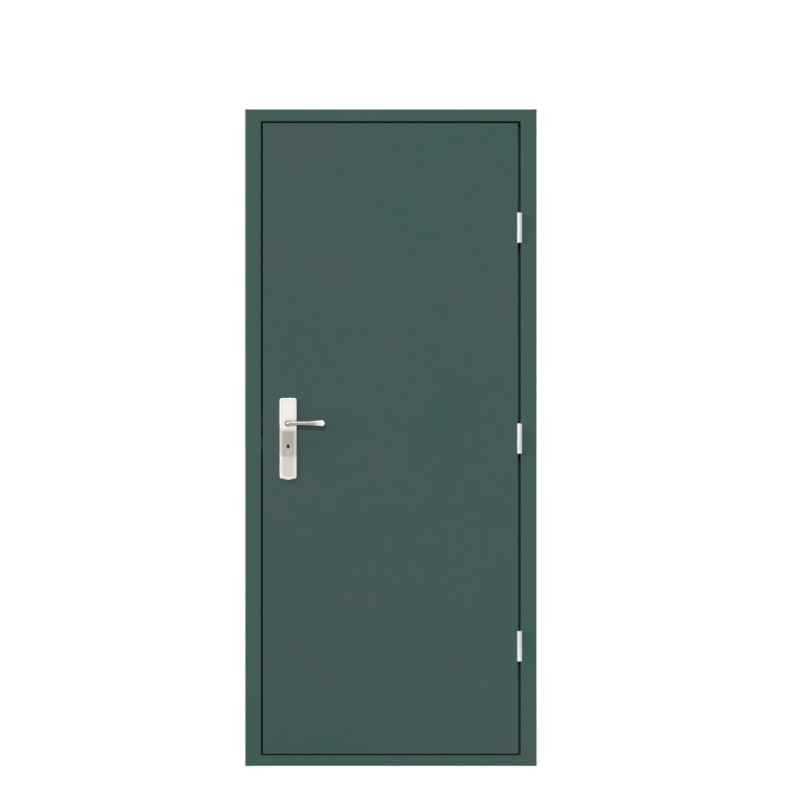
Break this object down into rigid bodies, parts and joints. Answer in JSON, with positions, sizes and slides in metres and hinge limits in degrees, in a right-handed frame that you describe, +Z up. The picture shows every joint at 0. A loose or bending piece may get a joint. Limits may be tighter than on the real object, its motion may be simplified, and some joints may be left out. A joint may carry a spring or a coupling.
{
  "type": "steel utility door",
  "caption": "Flush steel utility door in a folded steel frame with a threshold, hung on lift-off hinges, with lever handles on long plates and a key cylinder.",
  "frame": {"origin": "middle of the threshold's underside, halfway through the frame's depth", "axes": "+X to the hinge side, +Y through the door into the wall, +Z up; the leaf opens toward -Y"},
  "size_m": [0.91, 0.161, 2.05],
  "materials": {
    "leaf_paint": "satin",
    "frame_paint": "satin",
    "handle_steel": "brushed",
    "hinge_steel": "satin",
    "lock_steel": "satin",
    "zinc_steel": "matte",
    "cylinder_brass": "satin",
    "seal_rubber": "matte"
  },
  "bodies": {
    "frame": {"frame_head": "frame_paint", "frame_left_jamb_lock": "frame_paint", "frame_left_jamb_lower": "frame_paint", "frame_left_jamb_upper": "frame_paint", "frame_right_jamb": "frame_paint", "frame_threshold": "frame_paint", "head_seal": "seal_rubber", "hinge_backing_plates": "zinc_steel", "left_seal": "seal_rubber", "left_wall_sleeves": "zinc_steel", "lower_hinge_frame_half": "hinge_steel", "lower_hinge_washer": "hinge_steel", "middle_hinge_frame_half": "hinge_steel", "middle_hinge_washer": "hinge_steel", "right_seal": "seal_rubber", "right_wall_sleeves": "zinc_steel", "strike_box": "zinc_steel", "strike_plate": "lock_steel", "threshold_seal": "seal_rubber", "upper_hinge_frame_half": "hinge_steel", "upper_hinge_washer": "hinge_steel"},
    "leaf": {"leaf_front_skin": "leaf_paint", "leaf_back_skin": "leaf_paint", "lock_forend": "lock_steel", "latch_bolt": "lock_steel", "dead_bolt": "lock_steel", "front_handle_plate": "handle_steel", "back_handle_plate": "handle_steel", "key_cylinder": "cylinder_brass", "front_key_plug": "cylinder_brass", "back_key_plug": "cylinder_brass", "lower_hinge_leaf_half": "hinge_steel", "middle_hinge_leaf_half": "hinge_steel", "upper_hinge_leaf_half": "hinge_steel"},
    "handle": {"front_lever": "handle_steel", "back_lever": "handle_steel", "spindle": "lock_steel"}
  },
  "joints": [
    {"name": "door_swing", "type": "hinge", "parent": "frame", "child": "leaf", "pos_m": [0.401, -0.059, 1.0225], "axis": [0, 0, 1], "range_deg": [0, 170]},
    {"name": "handle_turn", "type": "hinge", "parent": "leaf", "child": "handle", "pos_m": [-0.32, -0.06, 1.07], "axis": [0, 1, 0], "range_deg": [0, 45], "stiffness_Nm_per_rad": 2, "springref_deg": -20.05}
  ]
}
